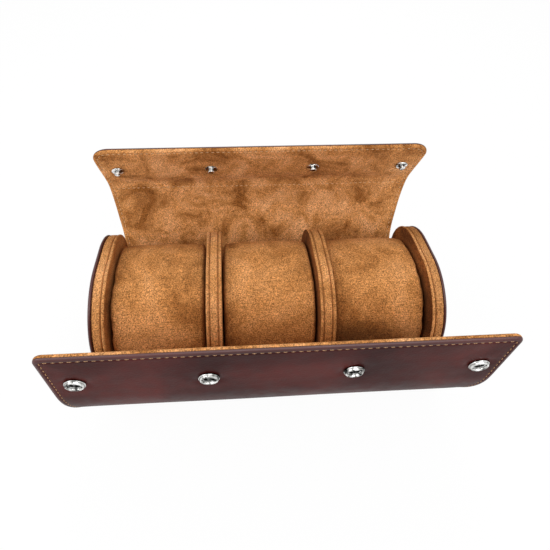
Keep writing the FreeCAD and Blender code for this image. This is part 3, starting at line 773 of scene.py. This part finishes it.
def rounded_ring(inset, corner_points=26, top_inset=0.0):
    """The panels' outline drawn in by an inset, as (y, z) points that match from ring to ring."""
    a = PANEL_HALF_DEPTH - inset
    low = SHEET_THICKNESS + inset
    high = SHEET_THICKNESS + PANEL_HEIGHT - inset - top_inset
    rb, rt = BOTTOM_RADIUS - inset, TOP_RADIUS - inset
    corners = []
    for y, z, r, start in ((a - rb, low + rb, rb, -90), (a - rt, high - rt, rt, 0),
                           (-(a - rt), high - rt, rt, 90), (-(a - rb), low + rb, rb, 180)):
        t = np.radians(np.linspace(start, start + 90, corner_points))
        corners.append(np.stack([y + r * np.cos(t), z + r * np.sin(t)], -1))
    u = np.linspace(0, 1, 12)[1:-1, None]
    parts = []
    for part, following in zip(corners, corners[1:] + corners[:1]):
        parts += [part, part[-1] * (1 - u) + following[0] * u]
    return np.concatenate(parts)


def panel_piece(name, profile, finish, closed=False, rim=None):
    """A flat rounded piece from (x, inset) pairs: a disc, or a band where the profile closes on itself.
    rim holds the first and last row of the profile that take the panels' own finish."""
    rings = [rounded_ring(inset) for _, inset in profile]
    points = np.concatenate([np.concatenate([np.full((len(r), 1), x), r], 1) for (x, _), r in zip(profile, rings)])
    count = len(rings[0])
    faces = ring_faces(len(profile), count, closed) + ([] if closed else end_faces(len(profile), count))
    piece = make_mesh(name, points, faces, material(finish))
    if rim is not None:
        piece.data.materials.append(material("panel"))
        for polygon in piece.data.polygons:
            rows = [v // count for v in polygon.vertices]
            polygon.material_index = int(len(rows) == 4 and min(rows) >= rim[0] and max(rows) <= rim[1])
    point_outwards(piece)
    return piece


def face_piece(name, x, direction):
    """A suede-covered board face whose rim is a full rolled edge. x is its visible side."""
    front = [(-0.25, 27.0), (-0.22, 16.0), (-0.12, 8.0), (-0.02, 4.2), (0.06, 2.6)]
    rim = [(BEAD * math.sin(a) - BEAD, BEAD - BEAD * math.cos(a)) for a in np.radians(np.linspace(60, -95, 13))]
    back = [(-FACE - 0.5, 2.4), (-FACE, 4.0), (-FACE, 27.0)]
    profile = [(x + direction * out, inset) for out, inset in front + rim + back]
    # painted shade: faces turned towards -X take the darker copy of the face suede
    return panel_piece(name, profile, "face" if direction > 0 else "face_painted_deeper_shade", rim=FACE_RIM_ROWS)


def band_piece(name, low, high, low_groove, high_groove):
    """The suede band round a panel: almost flat, sunk in a narrow groove along the bead at each seam."""
    u = np.linspace(0.0, 1.0, 41)
    x = low + (high - low) * u
    seams = ((x - low, low_groove), (high - x, high_groove))
    sink = np.max([1.25 * bell(np.maximum(0.0, distance - groove), 0.34) for distance, groove in seams], 0)
    outer = list(zip(x, 0.42 - 0.14 * np.sin(math.pi * u) + sink))
    return panel_piece(name, outer + [(high, 2.4), (low, 2.4)], "panel", closed=True)


def cap_leather_piece(name, x, side):
    """The padded leather of an end cap, which stands a little proud of its panel, more so on the left."""
    proud = 0.9 if side < 0 else 0.35
    drops = [(0.05, 27.0), (0.0, 14.0), (0.1, 6.0), (0.25, 2.4), (0.5, 1.0), (0.85, 0.38), (1.25, 0.14),
             (1.75, 0.16), (2.15, 0.5), (proud + CAP_LEATHER, 2.0), (proud + CAP_LEATHER, 27.0)]
    piece = panel_piece(name, [(x + side * (proud - drop), inset) for drop, inset in drops], "leather")
    count = len(piece.data.vertices) // len(drops)
    # rim value: a painted highlight and stronger shine along the cap's leather edge
    set_values(piece, "rim", bell(np.repeat([inset for _, inset in drops], count), 1.6))
    return piece


def pillow_form(name, centre):
    """A closed crowned form: the panels' outline, drawn in towards rounded ends."""
    ends = np.array([0.84, 0.9, 0.945, 0.975, 0.993, 1.0])
    stations = np.concatenate([-ends[::-1], np.linspace(-0.76, 0.76, 17), ends])
    parts = []
    for u in stations:
        inset = rolled((1 - abs(u)) * PILLOW_HALF, PILLOW_ROUND) + PILLOW_CROWN * u * u
        ring = rounded_ring(inset, 20, PILLOW_TOP_INSET)
        ring[:, 0] *= (PANEL_HALF_DEPTH - PILLOW_DEPTH_INSET) / PANEL_HALF_DEPTH
        parts.append(np.concatenate([np.full((len(ring), 1), centre + u * PILLOW_HALF), ring], 1))
    first, last = ([end.mean(0) + (end - end.mean(0)) * k for k in (0.8, 0.55, 0.28)]
                   for end in (parts[0], parts[-1]))
    rings = first[::-1] + parts + last
    count = len(parts[0])
    faces = ring_faces(len(rings), count) + end_faces(len(rings), count)
    piece = make_mesh(name, np.concatenate(rings), faces)
    point_outwards(piece)
    return piece


# ---- Operators


def stretch_cuts(sheet, strip_cut):
    """Where one skin ends and the next begins: the middle of each piece, with its own place in the strip."""
    cuts = [FLAP_START]
    for low, piece in zip(sheet.marks, sheet.run[:-1]):
        cuts.append(float(low) + (strip_cut if piece[0].endswith("strip") else piece[1] / 2))
    return cuts + [sheet.end]


def stitch_rows(sheet, low, high, lines, layer, thickness):
    """The stitches of one layer between two places along the sheet."""
    rows = []
    for x, s, step, lift in lines:
        use = (s >= low) & (s < high)
        if not use.any():
            continue
        x, s, step = x[use], s[use], step[use]
        d = sheet.edge_distance(x, s)
        if layer == "leather":
            height = leather_outside(sheet, x, s, d) + thickness * (0.14 - 0.34 * smooth_step(s / 9.0))
        else:
            height = lining_inside(sheet, x, s, d) + thickness * lift
        a = sheet.at(s)[2]
        ahead = np.stack([step[:, 0], step[:, 1] * sheet.side * np.cos(a), step[:, 1] * np.sin(a)], -1)
        rows.append((sheet.place(x, s, height), ahead, sheet.inwards(s) * (1 if layer == "lining" else -1)))
    return rows


def dress_flap(word, strip_cut, settings):
    """Leather, lining and stitches of one flap, cut into one stretch round each hinge."""
    sheet = flap_sheet(word)
    cuts = stretch_cuts(sheet, strip_cut)
    bodies = ["case"] + [piece[0] for piece in sheet.run]
    # the last number of a line is its height over the lining, in thicknesses of the thread
    lines = [stitch_line(sheet, settings.stitch_pitch) + (0.36,)]
    if not sheet.front:
        lines.append(stitch_line(sheet, settings.stitch_pitch, sheet.strip - CROSS_ROW) + (-0.05,))
    group = stitch_tree()
    for k, hinge in enumerate(sheet.marks[:-1]):
        low, high = cuts[k], cuts[k + 1]
        ends = np.array([max(low + 1.0, hinge - BEND_REACH), min(high - 1.0, hinge + BEND_REACH)])
        y, z, _ = sheet.at(ends)
        for layer in ("leather", "lining"):
            name = "%s_%s_skin_%d" % (word, layer, k + 1)
            piece = layer_piece(name, sheet, low, high, layer, k >= len(sheet.run) - 3)
            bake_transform(piece)
            nodes = ["%s_%s" % (bodies[k + 1], layer)]
            if layer == "lining" and bodies[k + 1].endswith("strip"):
                nodes.append(bodies[k + 1] + "_board")
            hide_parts(*nodes)
            rows = stitch_rows(sheet, low, high, lines, layer, settings.thread_thickness)
            if rows:
                thread = "thread" if layer == "leather" else "lining_thread"
                sewn = sew("%s_%s_stitches_%d" % (word, layer, k + 1), group, settings, 7 + k, thread, rows)
                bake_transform(sewn)


class WATCHCASE_PG_sizes(PropertyGroup):
    """Sizes and colours of the dressed case."""

    stitch_pitch: FloatProperty(
        name="Stitch pitch", description="From one stitch to the next, in millimetres", default=3.3, min=1.5, max=8.0)
    stitch_length: FloatProperty(
        name="Stitch length", description="Visible length of a stitch, in millimetres", default=2.0, min=0.8, max=6.0)
    thread_thickness: FloatProperty(
        name="Thread thickness", description="Thickness of the thread, in millimetres",
        default=0.48, min=0.2, max=1.5)
    pillow_pressure: FloatProperty(
        name="Pillow pressure", description="How hard the filling pushes the covers out",
        default=3.0, min=0.0, max=10.0)
    pillow_frames: IntProperty(
        name="Pillow frames", description="Frames over which the pillow covers settle", default=16, min=4, max=60)
    floor_colour: StringProperty(
        name="Floor colour", description="Colour of the plain floor, as a hex value", default="#F2F2F2")
    key_power: FloatProperty(
        name="Key light", description="Power of the large soft light, in watts", default=7.6, min=0.0, max=60.0)
    fill_power: FloatProperty(
        name="Fill light", description="Power of the fill light, in watts", default=4.8, min=0.0, max=60.0)


class WATCHCASE_OT_base(Operator):
    """Makes the flat middle of the sheet: leather below, suede lining above"""

    bl_idname = "watchcase.base"
    bl_label = "Base"

    def execute(self, context):
        settings = context.scene.watchcase
        sheet = Base()
        length = 2 * BASE_SKIN_HALF
        for layer, nodes, slot in (
            ("leather", ["base_leather"], "leather"), ("lining", ["base_lining", "base_board"], "suede"),
        ):
            piece = layer_piece("base_%s_skin" % layer, sheet, 0.0, length, layer, False)
            settle(piece, "case", slot, *nodes)
        count = int(length / settings.stitch_pitch)
        s = (np.arange(count) + 0.5) * length / count
        rows = []
        for sign in (-1, 1):
            x = np.full_like(s, sign * (BASE_HALF_WIDTH - STITCH_INSET))
            for height, up in ((-SHEET_THICKNESS + 0.34, -1.0), (-0.3, 1.0)):
                directions = (np.tile(way, (count, 1)) for way in ([0.0, 1.0, 0.0], [0.0, 0.0, up]))
                rows.append((sheet.place(x, s, np.full_like(s, height)), *directions))
        sewn = sew("base_stitches", stitch_tree(), settings, 3, "thread", rows)
        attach(sewn, "case")
        return {"FINISHED"}


class WATCHCASE_OT_flaps(Operator):
    """Makes both flaps as skins, one stretch round each hinge, with their stitches"""

    bl_idname = "watchcase.flaps"
    bl_label = "Flaps"

    def execute(self, context):
        for word, strip_cut in (("front", 8.5), ("back", 7.0)):
            dress_flap(word, strip_cut, context.scene.watchcase)
        return {"FINISHED"}


class WATCHCASE_OT_studs(Operator):
    """Turns the press-stud sockets, studs, backing plates and caps and sets four of each"""

    bl_idname = "watchcase.studs"
    bl_label = "Press studs"

    def execute(self, context):
        tree, keys = fastener_tree()
        x = np.array(SNAP_PLACES)
        along = np.tile([1.0, 0.0, 0.0], (len(x), 1))
        for name, node, profile, word, height, facing, finish, slot in FASTENERS:
            sheet = flap_sheet(word)
            s = np.full_like(x, sheet.snap_row)
            turned = lathe(name + "_form", profile)
            values = {keys["Turned Piece"]: turned, keys["Metal"]: material(finish)}
            places = sheet.place(x, s, np.full_like(x, height))
            piece = baked(name, tree, values, places, along, facing * sheet.inwards(s))
            bpy.data.objects.remove(turned)
            settle(piece, word + "_strip", slot, node)
        return {"FINISHED"}


class WATCHCASE_OT_panels(Operator):
    """Makes the end caps and dividers: leather panel, suede bands and suede faces with rolled rims"""

    bl_idname = "watchcase.panels"
    bl_label = "End caps and dividers"

    def execute(self, context):
        for word, side in (("left", -1), ("right", 1)):
            outer = side * CASE_HALF
            leather = cap_leather_piece(word + "_cap_leather", outer, side)
            settle(leather, "case", "leather", word + "_cap_leather_panel")
            low, high = sorted((outer - side * CAP_LEATHER, outer - side * (CAP_LEATHER + CAP_CORE)))
            grooves = (CAP_GROOVE, BEAD_GROOVE) if side < 0 else (BEAD_GROOVE, CAP_GROOVE)
            band = band_piece(word + "_cap_band", low, high, *grooves)
            # painted shade: the right cap's band is darkened a little, the left cap's is not
            set_values(band, "painted_shade", np.full(len(band.data.vertices), 0.0 if side < 0 else 0.25))
            settle(band, "case", "suede", word + "_cap_rim_band")
            face = face_piece(word + "_cap_face", outer - side * (CAP_LEATHER + CAP_CORE + FACE), -side)
            settle(face, "case", "suede", word + "_cap_suede_face")
            middle = side * (SLOT + DIVIDER_CORE + 2 * FACE) / 2
            half = DIVIDER_CORE / 2
            band = band_piece(word + "_divider_band", middle - half, middle + half, BEAD_GROOVE, BEAD_GROOVE)
            settle(band, "case", "suede", word + "_divider_rim_band")
            for place, direction in (("left", -1), ("right", 1)):
                name = "%s_divider_%s" % (word, place)
                face = face_piece(name, middle + direction * (half + FACE), direction)
                settle(face, "case", "suede", name + "_face")
        return {"FINISHED"}


def points_of(piece):
    points = np.empty(len(piece.data.vertices) * 3)
    piece.data.vertices.foreach_get("co", points)
    return points.reshape(-1, 3)


def move_to(piece, points):
    piece.data.vertices.foreach_set("co", points.ravel())
    piece.data.update()


def apply_modifiers(piece):
    """Turns what the piece's modifiers give into its mesh."""
    mesh, old = evaluated_mesh(piece), piece.data
    piece.modifiers.clear()
    piece.data = mesh
    bpy.data.meshes.remove(old)


def inflate(piece, scene):
    """Lets the cover settle as cloth round its filling, by a limited way."""
    start = points_of(piece)
    settings = scene.watchcase
    cloth = piece.modifiers.new("Cloth", "CLOTH")
    for key, value in CLOTH.items():
        setattr(cloth.settings, key, value)
    cloth.settings.uniform_pressure_force = settings.pillow_pressure
    cloth.settings.effector_weights.gravity = 0
    cloth.point_cache.frame_start = 1
    cloth.point_cache.frame_end = settings.pillow_frames
    for step in range(1, settings.pillow_frames + 1):
        scene.frame_set(step)
    apply_modifiers(piece)
    scene.frame_set(1)
    shift = points_of(piece) - start
    far = np.linalg.norm(shift, axis=1)[:, None]
    move_to(piece, start + shift * np.minimum(1.0, PILLOW_MOVE * MM / np.maximum(far, 1e-9)))


def soften(piece, number):
    """Shallow dents of soft filling on the open top, a seam near each end, and painted shade at the lower front."""
    points = points_of(piece) / MM
    x, y, z = points.T.copy()
    dent = np.sin(x * 0.13 + number) * np.sin(y * 0.11 + z * 0.07 + number * 2.0)
    dent += 0.6 * np.sin(x * 0.29 + y * 0.17 + number) * np.sin(z * 0.21 + 1.0)
    z += 0.28 * dent * smooth_step((z - 20.0) / 20.0)
    points[:, 2] = z
    over = x - (number - 1) * PITCH
    inwards = np.array([0.0, 0.0, SHEET_THICKNESS + PANEL_HEIGHT / 2]) - points
    inwards[:, 0] = 0.0
    inwards /= np.maximum(np.linalg.norm(inwards, axis=1), 1e-6)[:, None]
    points += inwards * (0.32 * bell(np.abs(over) - PILLOW_SEAM, 0.55))[:, None]
    move_to(piece, points * MM)
    y, z = points[:, 1], points[:, 2]
    # painted shade at the lower front of each pillow, heavier towards its left end
    low = smooth_step((52.0 - z) / 15.0) * smooth_step((z - 8.0) / 10.0) * smooth_step((-y - 6.0) / 22.0)
    far = smooth_step((20.0 - over) / 40.0)
    set_values(piece, "painted_shade", low * PILLOW_PAINTED_SHADE[number] * (0.45 + 0.55 * far))


class WATCHCASE_OT_pillows(Operator):
    """Makes the three watch pillows: each cover is inflated as cloth and rests in its slot"""

    bl_idname = "watchcase.pillows"
    bl_label = "Pillows"

    def execute(self, context):
        for number, word in enumerate(("left", "middle", "right")):
            centre = (number - 1) * PITCH
            piece = pillow_form(word + "_pillow", centre)
            remesh = piece.modifiers.new("Remesh", "REMESH")
            remesh.mode = "VOXEL"
            remesh.voxel_size = PILLOW_VOXEL * MM
            apply_modifiers(piece)
            inflate(piece, context.scene)
            # the cover stays inside its slot and off the base
            points = points_of(piece)
            half = PILLOW_LIMIT * MM
            points[:, 0] = centre * MM + np.clip(points[:, 0] - centre * MM, -half, half)
            points[:, 2] = np.maximum(points[:, 2], PILLOW_FLOOR * MM)
            move_to(piece, points)
            divide = piece.modifiers.new("Divide", "SUBSURF")
            divide.levels = divide.render_levels = 2
            apply_modifiers(piece)
            soften(piece, number)
            piece.data.materials.clear()
            piece.data.materials.append(material("pillow"))
            shade(piece.data)
            settle(piece, word + "_pillow", "suede", word + "_pillow_cover")
        return {"FINISHED"}


class WATCHCASE_OT_inner_pieces(Operator):
    """Gives the hidden boards, cores and foam their own stock"""

    bl_idname = "watchcase.inner_pieces"
    bl_label = "Inner pieces"

    def execute(self, context):
        for name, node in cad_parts.items():
            finish = "foam" if name.endswith("pillow_core") else "board"
            for slot in node.material_slots:
                slot.material = material(finish)
        return {"FINISHED"}


def seen_directly(tree):
    """1 for the rays that have to find white: the camera's, and those of reflections and glass."""
    rays = add(tree, "ShaderNodeLightPath").outputs
    seen = calculated(tree, "MAXIMUM", rays["Is Camera Ray"], rays["Is Glossy Ray"])
    return calculated(tree, "MAXIMUM", seen, rays["Is Transmission Ray"])


def stood(name, data, axes, spot):
    """An object turned to these three axes, at a place in metres."""
    holder = placed(name, data)
    holder.matrix_world = Matrix([[axis[i] for axis in axes] + [spot[i]] for i in range(3)] + [[0.0, 0.0, 0.0, 1.0]])
    return holder


def photo_camera(scene):
    yaw, pitch, roll = CAMERA_YAW, CAMERA_PITCH, CAMERA_ROLL
    forward = np.array([math.sin(yaw) * math.cos(pitch), math.cos(yaw) * math.cos(pitch), -math.sin(pitch)])
    right = np.array([math.cos(yaw), -math.sin(yaw), 0.0])
    up = np.cross(right, forward)
    turned_right = math.cos(roll) * right + math.sin(roll) * up
    turned_up = -math.sin(roll) * right + math.cos(roll) * up
    lens = bpy.data.cameras.new("Photo_Camera")
    lens.sensor_width = SENSOR
    lens.lens = SENSOR * CAMERA_FOCAL / PHOTO_PIXELS
    lens.shift_x, lens.shift_y = (shift / PHOTO_PIXELS for shift in CAMERA_SHIFT)
    lens.clip_start = 0.01
    scene.camera = stood("Photo_Camera", lens, (turned_right, turned_up, -forward), np.array(CAMERA_SPOT) * MM)


def paper_floor(settings):
    """Matte paper sweep: white to the camera and in reflections, with the object's soft shadow kept."""
    paper, tree, shader, place = new_material("Paper_Sweep")
    feed(tree, shader, {
        "Base Color": linear(settings.floor_colour), "Roughness": 0.95,
        "Normal": relief(tree, noise(tree, place, 1.5), 0.05, 0.0002),
    })
    glow = add(tree, "ShaderNodeEmission", {"Color": (1, 1, 1, 1), "Strength": 1.0}).outputs["Emission"]
    share = calculated(tree, "MULTIPLY", seen_directly(tree), 0.95)
    mix = add(tree, "ShaderNodeMixShader", {0: share, 1: shader.outputs["BSDF"], 2: glow}).outputs["Shader"]
    feed(tree, next(node for node in tree.nodes if node.type == "OUTPUT_MATERIAL"), {"Surface": mix})
    corners = [(x * FLOOR_HALF, y * FLOOR_HALF, FLOOR_DROP) for x, y in ((-1, -1), (1, -1), (1, 1), (-1, 1))]
    make_mesh("Floor", corners, [(0, 1, 2, 3)], paper, smooth=False)


def soft_light(name, place, target_height, size, power):
    """A round light that faces a point above the origin."""
    lamp = bpy.data.lights.new(name, "AREA")
    lamp.shape = "DISK"
    lamp.size = size
    lamp.energy = power
    back = np.array(place) - np.array([0.0, 0.0, target_height])
    back /= np.linalg.norm(back)
    side = np.cross([0.0, 0.0, 1.0], back)
    side /= np.linalg.norm(side)
    stood(name, lamp, (side, np.cross(back, side), back), place)


def white_surroundings(scene):
    world = bpy.data.worlds.new("White_Surroundings")
    scene.world = world
    world.use_nodes = True
    tree = world.node_tree
    tree.nodes.clear()
    soft, white = (add(tree, "ShaderNodeBackground", {"Color": (1, 1, 1, 1), "Strength": strength})
                   .outputs["Background"] for strength in (0.55, 1.0))
    mix = add(tree, "ShaderNodeMixShader", {0: seen_directly(tree), 1: soft, 2: white}).outputs["Shader"]
    add(tree, "ShaderNodeOutputWorld", {"Surface": mix})


class WATCHCASE_OT_stage(Operator):
    """Sets the camera, the soft lights, the pale floor and the white surroundings"""

    bl_idname = "watchcase.stage"
    bl_label = "Stage"

    def execute(self, context):
        scene = context.scene
        settings = scene.watchcase
        photo_camera(scene)
        paper_floor(settings)
        soft_light("Key_Light", (0.22, -0.85, 0.80), 0.05, 0.9, settings.key_power)
        soft_light("Fill_Light", (-0.70, -0.45, 0.70), 0.05, 0.8, settings.fill_power)
        soft_light("Back_Light", (0.10, 0.75, 0.80), 0.08, 0.7, settings.fill_power * 0.8)
        white_surroundings(scene)
        scene.view_settings.view_transform = "Standard"
        return {"FINISHED"}


class WATCHCASE_PT_panel(Panel):
    """Lists the steps that dress the case"""

    bl_idname = "WATCHCASE_PT_panel"
    bl_label = "Watch Case"
    bl_space_type = "VIEW_3D"
    bl_region_type = "UI"
    bl_category = "Watch Case"

    def draw(self, context):
        for key in WATCHCASE_PG_sizes.__annotations__:
            self.layout.prop(context.scene.watchcase, key)
        for step in STEPS:
            self.layout.operator(step.bl_idname)


STEPS = (
    WATCHCASE_OT_stage, WATCHCASE_OT_inner_pieces, WATCHCASE_OT_base, WATCHCASE_OT_flaps, WATCHCASE_OT_studs,
    WATCHCASE_OT_panels, WATCHCASE_OT_pillows,
)
CLASSES = (WATCHCASE_PG_sizes, *STEPS, WATCHCASE_PT_panel)


def register():
    for kind in CLASSES:
        bpy.utils.register_class(kind)
    bpy.types.Scene.watchcase = PointerProperty(type=WATCHCASE_PG_sizes)


def unregister():
    del bpy.types.Scene.watchcase
    for kind in reversed(CLASSES):
        bpy.utils.unregister_class(kind)


def main():
    register()
    for step in STEPS:
        getattr(bpy.ops.watchcase, step.bl_idname.split(".")[1])()


if __name__ == "__main__":
    main()
